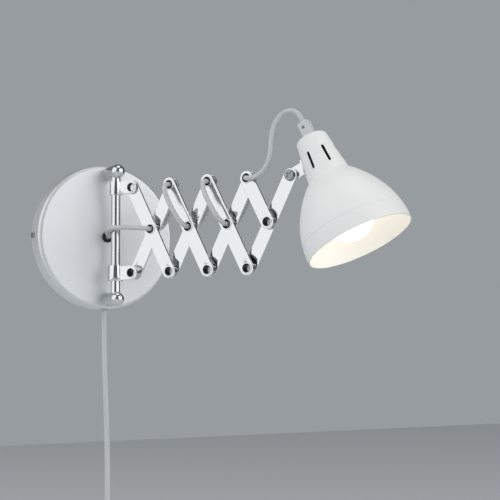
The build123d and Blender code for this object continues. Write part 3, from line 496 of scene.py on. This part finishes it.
# Shade: spun from steel sheet, with vents punched in its neck, and stove enamelled white inside
# and out. The enamel is satin, and its slight orange peel softens the highlights.
white_enamel, tree = new_material("white_stove_enamel")
place = add_node(tree, "ShaderNodeTexCoord")
peel = add_node(tree, "ShaderNodeTexNoise", {
    "Vector": place.outputs["Object"], "Scale": 1 / (1.6 * MM), "Detail": 2.0})
bump = add_node(tree, "ShaderNodeBump", {
    "Height": peel.outputs["Fac"], "Strength": 0.05, "Distance": 0.08 * MM})
cloud = add_node(tree, "ShaderNodeTexNoise", {
    "Vector": place.outputs["Object"], "Scale": 1 / (50 * MM), "Detail": 2.0})
tint = add_node(tree, "ShaderNodeValToRGB", {"Fac": cloud.outputs["Fac"]})
tint.color_ramp.elements[0].color = linear("#EFEFED")
tint.color_ramp.elements[1].color = linear("#F6F6F4")
finish_surface(tree, add_node(tree, "ShaderNodeBsdfPrincipled", {
    "Base Color": tint.outputs["Color"], "Roughness": 0.42, "IOR": 1.5,
    "Normal": bump.outputs["Normal"]}))
dress(white_enamel, "shade")

# Cord grip: a moulded block of clear nylon on top of the neck, held by its own stud and a nut
# inside. Its side screw pinches the cord. A thick block looks milky grey and only a little clear.
clear_nylon, tree = new_material("clear_nylon")
place = add_node(tree, "ShaderNodeTexCoord")
cloud = add_node(tree, "ShaderNodeTexNoise", {
    "Vector": place.outputs["Object"], "Scale": 1 / (4 * MM), "Detail": 3.0})
tint = add_node(tree, "ShaderNodeValToRGB", {"Fac": cloud.outputs["Fac"]})
tint.color_ramp.elements[0].color = linear("#D0D3D6")
tint.color_ramp.elements[1].color = linear("#E0E2E4")
finish_surface(tree, add_node(tree, "ShaderNodeBsdfPrincipled", {
    "Base Color": tint.outputs["Color"], "Roughness": 0.3, "IOR": 1.5, "Transmission Weight": 0.1}))
dress(clear_nylon, "cord_grip")

# Lamp holder and bulb: a moulded black phenolic holder inside the neck, and a small frosted globe
# with an aluminium cap that screws into it. The bulb is lit.

# Phenolic is near black with a dull gloss.
black_phenolic, tree = new_material("black_phenolic")
place = add_node(tree, "ShaderNodeTexCoord")
cloud = add_node(tree, "ShaderNodeTexNoise", {
    "Vector": place.outputs["Object"], "Scale": 1 / (2 * MM), "Detail": 3.0})
haze = add_node(tree, "ShaderNodeMapRange", {
    "Value": cloud.outputs["Fac"], "To Min": 0.3, "To Max": 0.42})
finish_surface(tree, add_node(tree, "ShaderNodeBsdfPrincipled", {
    "Base Color": linear("#17181A"), "Roughness": haze.outputs["Result"], "IOR": 1.6}))
dress(black_phenolic, "lamp_holder")

# Bare aluminium is pale, with smeared soft reflections.
cap_metal, tree = new_material("bare_aluminium")
place = add_node(tree, "ShaderNodeTexCoord")
smear = add_node(tree, "ShaderNodeTexNoise", {
    "Vector": place.outputs["Object"], "Scale": 1 / (3 * MM), "Detail": 3.0})
haze = add_node(tree, "ShaderNodeMapRange", {
    "Value": smear.outputs["Fac"], "To Min": 0.25, "To Max": 0.45})
finish_surface(tree, add_node(tree, "ShaderNodeBsdfPrincipled", {
    "Base Color": linear("#D2D2CF"), "Roughness": haze.outputs["Result"], "Metallic": 1.0}))
dress(cap_metal, "bulb_cap")

# The frost spreads the lamp's light, so the whole globe glows a warm white.
frosted_glass, tree = new_material("frosted_lit_glass")
place = add_node(tree, "ShaderNodeTexCoord")
frost = add_node(tree, "ShaderNodeTexNoise", {
    "Vector": place.outputs["Object"], "Scale": 1 / (12 * MM), "Detail": 2.0})
glow = add_node(tree, "ShaderNodeValToRGB", {"Fac": frost.outputs["Fac"]})
glow.color_ramp.elements[0].color = linear("#FFF0DA")
glow.color_ramp.elements[1].color = linear("#FFF5E6")
finish_surface(tree, add_node(tree, "ShaderNodeBsdfPrincipled", {
    "Base Color": linear("#FBF7EE"), "Roughness": 0.5,
    "Emission Color": glow.outputs["Color"], "Emission Strength": 1.6}))
dress(frosted_glass, "bulb_glass")

# Arm cord: a round twin flex in a clear soft sleeve. It leaves the canopy through its bush, passes
# in front of the rod, and is threaded through the hollow rivets, in a bow along each link.
cord_radius = 2.3
meeting = (front_back + rear_face) / 2


def smooth_line(route):
    """Points along the NURBS spline that has the route, in millimetres, as its control points."""
    curve = bpy.data.curves.new("route", "CURVE")
    curve.dimensions = "3D"
    curve.resolution_u = 8
    spline = curve.splines.new("NURBS")
    spline.points.add(len(route) - 1)
    for point, spot in zip(spline.points, route):
        point.co = (*(Vector(spot) * MM), 1)
    spline.order_u = 3
    spline.use_endpoint_u = True
    holder = bpy.data.objects.new("route", curve)
    mesh = bpy.data.meshes.new_from_object(holder)
    line = [vertex.co.copy() for vertex in mesh.vertices]
    bpy.data.objects.remove(holder)
    bpy.data.curves.remove(curve)
    bpy.data.meshes.remove(mesh)
    return line


def frames_along(line):
    """Each point of a line with two directions across it, which turn as little as they can."""
    side = None
    for k, spot in enumerate(line):
        ahead = (line[min(k + 1, len(line) - 1)] - line[max(k - 1, 0)]).normalized()
        if side is None:
            side = ahead.orthogonal()
        side = (side - ahead * side.dot(ahead)).normalized()
        yield spot, side, ahead.cross(side)


def flex_mesh(name, line, radius):
    """A clear sleeve along the line with its two insulated wires twisted inside."""
    sleeve_sides, wire_sides = 20, 8
    wire_radius, wire_offset, twist_length = 0.40 * radius, 0.44 * radius, 240 * MM
    strands = [(sleeve_sides, radius, 0.0, 0, 0.0)]
    strands += [(wire_sides, wire_radius, wire_offset, 1, start) for start in (0.0, pi)]
    spots, faces, kinds = [], [], []
    for sides, size, offset, kind, start in strands:
        first, travelled, before = len(spots), 0.0, line[0]
        for spot, side, lift in frames_along(line):
            travelled += (spot - before).length
            before = spot
            turn = start + 2 * pi * travelled / twist_length
            middle = spot + (side * cos(turn) + lift * sin(turn)) * offset
            for j in range(sides):
                angle = 2 * pi * j / sides
                spots.append(middle + (side * cos(angle) + lift * sin(angle)) * size)
        for ring in range(len(line) - 1):
            here = first + ring * sides
            for j in range(sides):
                ahead = (j + 1) % sides
                faces.append((here + j, here + ahead, here + sides + ahead, here + sides + j))
                kinds.append(kind)
        faces.append(tuple(range(first + sides - 1, first - 1, -1)))
        faces.append(tuple(range(first + (len(line) - 1) * sides, first + len(line) * sides)))
        kinds += [kind, kind]
    mesh = bpy.data.meshes.new(name)
    mesh.from_pydata(spots, [], faces)
    mesh.materials.append(clear_sleeve)
    mesh.materials.append(wire_cover)
    mesh.polygons.foreach_set("material_index", kinds)
    piece = bpy.data.objects.new(name, mesh)
    bpy.context.scene.collection.objects.link(piece)
    activate(piece)
    bpy.ops.object.shade_smooth_by_angle(angle=radians(50))
    return piece


def lay_flex(name, node, line, radius, body):
    """A length of flex that stands for a CAD node and moves with one body."""
    piece = flex_mesh(name, line, radius)
    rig.replaces(piece, node)
    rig.slot(piece, "clear_cord")
    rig.ride(piece, body)
    return piece


# Soft PVC is pale and glossy, and lets a little of the wires show through.
clear_sleeve, tree = new_material("clear_soft_pvc")
place = add_node(tree, "ShaderNodeTexCoord")
cloud = add_node(tree, "ShaderNodeTexNoise", {
    "Vector": place.outputs["Object"], "Scale": 1 / (5 * MM), "Detail": 2.0})
haze = add_node(tree, "ShaderNodeMapRange", {
    "Value": cloud.outputs["Fac"], "To Min": 0.06, "To Max": 0.12})
finish_surface(tree, add_node(tree, "ShaderNodeBsdfPrincipled", {
    "Base Color": linear("#DBDEE0"), "Roughness": haze.outputs["Result"], "IOR": 1.46,
    "Transmission Weight": 0.2}))

# The wires' insulation is an even mid grey, which darkens the sleeve over it.
wire_cover, tree = new_material("grey_wire_insulation")
place = add_node(tree, "ShaderNodeTexCoord")
cloud = add_node(tree, "ShaderNodeTexNoise", {
    "Vector": place.outputs["Object"], "Scale": 1 / (3 * MM), "Detail": 2.0})
tint = add_node(tree, "ShaderNodeValToRGB", {"Fac": cloud.outputs["Fac"]})
tint.color_ramp.elements[0].color = linear("#A2A6AA")
tint.color_ramp.elements[1].color = linear("#B4B8BB")
finish_surface(tree, add_node(tree, "ShaderNodeBsdfPrincipled", {
    "Base Color": tint.outputs["Color"], "Roughness": 0.4}))

# Each bow's points, in cord radii: along the link from its pivot, off its face, towards the wall.
rear_rise = [(0, 1.7, 0), (0.9, 4.0, 0), (3.6, 5.6, 0), (8.2, 6.3, 0)]
rear_fall = [(7.6, 6.2, 0), (3.3, 5.2, 0), (0.8, 3.3, 0), (0, 1.3, 0)]
front_rise = [(0, 1.35, 0), (0.9, 2.9, 0.55), (3.4, 4.0, 1.0), (8.2, 4.4, 1.15)]
front_fall = [(7.6, 4.75, 0.8), (3.3, 4.45, 0.35), (0.8, 3.0, 0.05), (0, 1.2, 0)]


def span_route(start, end, face, side, rise, fall):
    """Route of a bow along a link between two pivots, off its front (1) or back (-1) face."""
    along = (end - start).normalized()
    spots = [start + along * distance * cord_radius for distance, height, swing in rise]
    spots += [end - along * distance * cord_radius for distance, height, swing in fall]
    route = [arm_point(*start, meeting)]
    for spot, (distance, height, swing) in zip(spots, rise + fall):
        route.append(arm_point(
            spot.x - swing * cord_radius, spot.y, face + side * height * cord_radius))
    return route + [arm_point(*end, meeting)]


for k in range(3):
    line = smooth_line(span_route(cross[k], top[k + 1], rear_back, -1, rear_rise, rear_fall))
    lay_flex(f"arm_flex_rear_{k + 1}", f"arm_cord_rear_{k + 1}", line, cord_radius * MM,
             f"rear_link_{k + 1}")
for k in (1, 2):
    line = smooth_line(span_route(top[k], cross[k], front_face, 1, front_rise, front_fall))
    lay_flex(f"arm_flex_front_{k + 1}", f"arm_cord_front_{k + 1}", line, cord_radius * MM,
             f"front_link_{k + 1}")

# Inside the canopy the cord runs from the terminal block to its bush.
bush_front, entry_depth, block_start = 21.2, 6.6, 13.0
line = smooth_line([(block_start, -entry_depth, 0), (0, -entry_depth, 0), (0, -bush_front, 0)])
lay_flex("arm_flex_tail", "arm_cord_tail", line, cord_radius * MM, "wall_unit")


def nearest(line, spot):
    """Index of the point of a line that lies nearest to spot."""
    return min(range(len(line)), key=lambda j: (line[j] - spot).length)


def split_flex(node, line, cut, names, bodies, starts, ends):
    """Two lengths of flex that meet where the line is nearest to cut, each blending two bodies."""
    middle = nearest(line, cut)
    parts = (line[:middle + 1], line[middle:])
    for name, part, pair, start, end in zip(names, parts, zip(bodies, bodies[1:]), starts, ends):
        piece = flex_mesh(name, part, cord_radius * MM)
        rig.replaces(piece, node)
        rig.slot(piece, "clear_cord")
        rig.blend(piece, *pair, start, end)


# From the bush it goes round the front of the rod to the first crossing of the links.
first, rod_radius = cross[0], 4.5
line = smooth_line([
    (0, -bush_front, 0),
    (0, -bush_front - 2.25 * cord_radius, 0),
    ROD + Vector((-1.78 * rod_radius, 1.16 * rod_radius, 0.9 * first.y)),
    ROD + Vector((-2.13 * rod_radius, -0.89 * rod_radius, 1.41 * first.y)),
    ROD + Vector((-0.93 * rod_radius, -2.49 * rod_radius, 1.61 * first.y)),
    arm_point(0.45 * first.x, 1.56 * first.y, front_face + 2.76 * cord_radius),
    arm_point(0.717 * first.x, 1.31 * first.y, front_face + 2.5 * cord_radius),
    arm_point(0.905 * first.x, 1.11 * first.y, front_face + 2.07 * cord_radius),
    arm_point(*first, front_face + 0.7 * cord_radius),
    arm_point(*first, meeting),
])
rod_cut = Vector((-4.2, -51.0, 6.4)) * MM
turn_start, turn_end = Vector((0, -26.0, 0)) * MM, Vector((0, -48.0, 0)) * MM
fold_start, fold_end = arm_point(10.0, 4.0, 0) * MM, arm_point(37.0, 4.0, 0) * MM
split_flex(
    "arm_cord_inlet", line, rod_cut, ("arm_flex_inlet", "arm_flex_entry"),
    ("wall_unit", "swing_rod", "front_link_1"), (turn_start, fold_start), (turn_end, fold_end),
)


def between(start, end, shares):
    """Coordinates that lie a share of the way from start to end, one share for each axis."""
    return [a + (b - a) * share for a, b, share in zip(start, end, shares)]


# From the last rivet it rises in a slack loop to the grip, given in shares of the way to the neck.
TILT = radians(26.5)
neck_reach, neck_rise = 32.3, 19.35
neck = top[4] + Vector((
    neck_reach * cos(TILT) - neck_rise * sin(TILT), neck_reach * sin(TILT) + neck_rise * cos(TILT)))
shade_layer = rear_face - 1.0
last_rivet = (*top[3], front_face)
neck_spot = (*neck, shade_layer)
slack_loop = [
    (0.061, -0.040, -0.836),
    (0.182, -0.034, -0.961),
    (0.306, 0.092, -0.773),
    (0.388, 0.351, -0.461),
    (0.418, 0.685, -0.180),
    (0.408, 1.038, 0.070),
    (0.431, 1.378, 0.273),
    (0.496, 1.643, 0.477),
    (0.591, 1.800, 0.664),
    (0.693, 1.838, 0.820),
    (0.775, 1.782, 0.945),
]
grip_seat, grip_height, grip_lead = 4.0, 16.2, 7.4
lean = Vector((-sin(TILT), cos(TILT)))
line = smooth_line([
    arm_point(*top[3], meeting),
    arm_point(*top[3], front_face + 0.96 * cord_radius),
    *[arm_point(*between(last_rivet, neck_spot, shares)) for shares in slack_loop],
    arm_point(*(neck + lean * (grip_height + grip_lead)), shade_layer),
    arm_point(*(neck + lean * grip_seat), shade_layer),
])

# Its end in the grip moves with the lamp; the rest takes up the folding first and then the tilting.
grip_start = nearest(line, arm_point(193.3, 100.6, -5.2) * MM)
lay_flex("arm_flex_grip", "arm_cord_lamp", line[grip_start:], cord_radius * MM, "lamp_head")
slack_cut = arm_point(169.0, 57.3, 3.6) * MM
fold_start, fold_end = arm_point(150.2, 39.8, 0) * MM, arm_point(169.8, 56.6, 0) * MM
tilt_start, tilt_end = arm_point(166.8, 55.6, 0) * MM, arm_point(160.0, 95.4, 0) * MM
split_flex(
    "arm_cord_lamp", line[:grip_start + 1], slack_cut, ("arm_flex_slack", "arm_flex_lamp"),
    ("front_link_4", "rear_link_4", "lamp_head"), (fold_start, tilt_start), (fold_end, tilt_end),
)

# Mains cord: the same clear flex, a little thicker. It runs from the terminal block to the bottom
# of the canopy, leaves it through its bush and hangs almost straight to an in-line switch.
mains_radius = 2.6 * MM
canopy_radius, exit_depth, switch_drop, mains_drift = 70.0, 12.5, 200.0, 4.5
mains_start = (23.0, -entry_depth, -6.0)
mains_gather = (0, -exit_depth, -post_height)
mains_exit = (0, -exit_depth, -canopy_radius)
mains_end = (mains_drift, -exit_depth, -canopy_radius - switch_drop)
line = smooth_line([
    mains_start,
    between(mains_start, mains_gather, (0, 0, 0.255)),
    between(mains_start, mains_gather, (0.235, 0.305, 0.509)),
    between(mains_start, mains_gather, (0.687, 0.746, 0.738)),
    mains_gather,
    between(mains_exit, mains_end, (0.04, 0, 0.12)),
    between(mains_exit, mains_end, (0.27, 0, 0.33)),
    between(mains_exit, mains_end, (0.73, 0, 0.55)),
    between(mains_exit, mains_end, (1, 0, 0.775)),
    mains_end,
])
mains = lay_flex("mains_flex", "mains_cord", line, mains_radius, "wall_unit")
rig.cord(mains, exit=line[0], length=0.270, diameter=2 * mains_radius, far_end="connector",
        stiffness="medium", lay="hanging", path=line,
        with_pieces=[nodes["switch_body"], nodes["switch_rocker"], nodes["mains_bush"]])

# Spare cord: the rest of the mains cord, from the switch to the plug. It is wound by hand into a
# flat coil of two layers, inwards behind and outwards in front, and tied.
switch_bottom, seat = -324.0, 4.0
lead, lead_radius, lead_spread = 8.0, 25.0, 1.01
coil_radius, coil_pitch, half_turns, tail_length = 40.0, 5.9, 7, 33.0
points_per_half, spread = 8, 1.012


def half_turn(start, radius, side, lift):
    """Control points of a half turn down the left (-1) or up the right (1), and where it ends."""
    centre = start + Vector((0, 0, radius * side))
    reach = radius * spread
    turns = [(j + 0.5) * pi / points_per_half for j in range(points_per_half)]
    points = [centre + Vector((side * sin(a) * reach, lift * a / pi, -side * cos(a) * reach))
              for a in turns]
    return points, start + Vector((0, lift, 2 * radius * side))


spot = Vector((mains_drift, -exit_depth, switch_bottom + seat))
route = [spot, spot + Vector((0, 0, -seat - lead / 2)), spot + Vector((0, 0, -seat - lead))]
centre = route[-1] + Vector((-lead_radius, 0, 0))
for angle in (24, 48, 72):
    a = radians(angle)
    route.append(centre + Vector((cos(a), 0, -sin(a))) * lead_radius * lead_spread)
turn_spot = centre + Vector((0, 0, -lead_radius))
step = coil_pitch / 2
innermost = coil_radius - half_turns * step
inwards = [coil_radius - k * step for k in range(half_turns)]
outwards = [innermost + (k + 1) * step for k in range(half_turns - 1)]
for k, radius in enumerate(inwards + [innermost] + outwards):
    side = -1 if k % 2 == 0 else 1
    lift = -coil_pitch if k == half_turns else 0.0
    points, turn_spot = half_turn(turn_spot, radius, side, lift)
    route += points
centre = turn_spot + Vector((0, 0, -coil_radius))
for angle in (11, 33, 56, 78):
    a = radians(angle)
    route.append(centre + Vector((-sin(a), 0, cos(a))) * coil_radius * spread)
tail_start = centre + Vector((-coil_radius, 0, 0))
route.append(tail_start + Vector((0, 0, -0.3 * tail_length)))
route.append(tail_start + Vector((0, 0, -tail_length - seat)))
line = smooth_line(route)
coil = lay_flex("mains_flex_coil", "mains_coil", line, mains_radius, "wall_unit")
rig.cord(coil, exit=line[0], length=1.457, diameter=2 * mains_radius, far_end="plug",
        stiffness="medium", lay="coiled", path=line,
        with_pieces=[nodes["plug_body"], nodes["plug_pins"], nodes["cord_tie"]])

# Switch, plug and tie: the switch and the plug are grey ABS mouldings on the mains cord, and a
# black hook-and-loop strap ties the coil.

# The ABS is an even pale grey, its gloss broken up by a fine moulded grain.
grey_abs, tree = new_material("moulded_grey_abs")
place = add_node(tree, "ShaderNodeTexCoord")
grain = add_node(tree, "ShaderNodeTexNoise", {
    "Vector": place.outputs["Object"], "Scale": 1 / (0.7 * MM), "Detail": 2.0})
haze = add_node(tree, "ShaderNodeMapRange", {
    "Value": grain.outputs["Fac"], "To Min": 0.22, "To Max": 0.34})
finish_surface(tree, add_node(tree, "ShaderNodeBsdfPrincipled", {
    "Base Color": linear("#CDD0D3"), "Roughness": haze.outputs["Result"], "IOR": 1.53}))
dress(grey_abs, "switch_body", "switch_rocker", "plug_body")

# The strap's loops make it matt and rough.
strap, tree = new_material("black_hook_and_loop")
place = add_node(tree, "ShaderNodeTexCoord")
loops = add_node(tree, "ShaderNodeTexVoronoi", {
    "Vector": place.outputs["Object"], "Scale": 1 / (0.6 * MM)})
bump = add_node(tree, "ShaderNodeBump", {
    "Height": loops.outputs["Distance"], "Strength": 0.5, "Distance": 0.2 * MM})
finish_surface(tree, add_node(tree, "ShaderNodeBsdfPrincipled", {
    "Base Color": linear("#222326"), "Roughness": 0.85, "Normal": bump.outputs["Normal"]}))
dress(strap, "cord_tie")

# Studio: a plain pale floor under the hanging plug, with soft boxes at the left, the front right
# and above. The world shows the backdrop to the eye and through clear pieces, and metal mirrors
# that backdrop towards the wall and a dimmer room elsewhere.
floor_level = -0.530
bpy.ops.mesh.primitive_plane_add(size=8.0, location=(0, 0, floor_level))
floor = bpy.context.object
floor.name = "floor"
floor_paint, tree = new_material("pale_floor")
finish_surface(tree, add_node(tree, "ShaderNodeBsdfPrincipled", {
    "Base Color": linear("#D3D6D8"), "Roughness": 0.7}))
floor.data.materials.append(floor_paint)
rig.stage(floor)

backdrop, room, ambient = linear("#979CA0"), linear("#5A5E62"), linear("#A2A5A8")
world = bpy.data.worlds.new("studio")
bpy.context.scene.world = world
world.use_nodes = True
tree = world.node_tree
tree.nodes.clear()
ray = add_node(tree, "ShaderNodeLightPath")
seen = add_node(tree, "ShaderNodeMath", {
    0: ray.outputs["Is Camera Ray"], 1: ray.outputs["Is Transmission Ray"]}, operation="MAXIMUM")
direction = add_node(tree, "ShaderNodeTexCoord")
axes = add_node(tree, "ShaderNodeSeparateXYZ", {"Vector": direction.outputs["Generated"]})
behind = add_node(tree, "ShaderNodeMapRange", {
    "Value": axes.outputs["Y"], "From Min": 0.85, "From Max": 1.0}, interpolation_type="SMOOTHSTEP")
mirrored = add_node(tree, "ShaderNodeMix", {
    "Factor": behind.outputs["Result"], "A": room, "B": backdrop}, data_type="RGBA")
soft = add_node(tree, "ShaderNodeMix", {
    "Factor": ray.outputs["Is Glossy Ray"], "A": ambient,
    "B": mirrored.outputs["Result"]}, data_type="RGBA")
shown = add_node(tree, "ShaderNodeMix", {
    "Factor": seen.outputs["Value"], "A": soft.outputs["Result"], "B": backdrop}, data_type="RGBA")
background = add_node(tree, "ShaderNodeBackground", {"Color": shown.outputs["Result"]})
add_node(tree, "ShaderNodeOutputWorld", {"Surface": background.outputs[0]})

for name, spot, aim, width, height, power in (
    ("left_box", (-2.62, 0.03, 1.24), (0.1, -0.05, 0.05), 4.8, 3.7, 52.0),
    ("front_box", (1.7, -2.9, 1.02), (0.0, 0.0, 0.0), 3.7, 2.9, 53.0),
    ("top_box", (0.1, -0.55, 2.7), (0.1, -0.2, 0.0), 1.7, 1.7, 11.5),
):
    light = bpy.data.lights.new(name, "AREA")
    light.shape = "RECTANGLE"
    light.size = width
    light.size_y = height
    light.energy = power
    lamp = bpy.data.objects.new(name, light)
    lamp.location = spot
    lamp.rotation_euler = (Vector(aim) - Vector(spot)).to_track_quat("-Z", "Y").to_euler()
    bpy.context.scene.collection.objects.link(lamp)

# Camera: where the photograph was taken from, left of the lamp and a little below its middle.
# Its focal length is in pixels of a 500 pixel wide picture.
yaw, rise, roll = radians(29.77), radians(4.58), radians(-0.22)
image_focal, image_width = 1207.9, 500
viewpoint = Vector((-0.4606, -1.1039, -0.1070))
forward = Vector((sin(yaw) * cos(rise), cos(yaw) * cos(rise), sin(rise)))
right = Vector((cos(yaw), -sin(yaw), 0))
up = right.cross(forward)
right, up = right * cos(roll) + up * sin(roll), up * cos(roll) - right * sin(roll)
camera_data = bpy.data.cameras.new("camera")
camera_data.sensor_width = 36.0
camera_data.lens = camera_data.sensor_width * image_focal / image_width
camera = bpy.data.objects.new("camera", camera_data)
camera.matrix_world = Matrix((
    (right.x, up.x, -forward.x, viewpoint.x),
    (right.y, up.y, -forward.y, viewpoint.y),
    (right.z, up.z, -forward.z, viewpoint.z),
    (0, 0, 0, 1),
))
bpy.context.scene.collection.objects.link(camera)
bpy.context.scene.camera = camera
bpy.context.scene.view_settings.view_transform = "Standard"

with open("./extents.json", "w") as size_file:
    json.dump({"cad": [list(corner) for corner in cad_box], "visual": [list(corner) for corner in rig.bounds()]}, size_file)
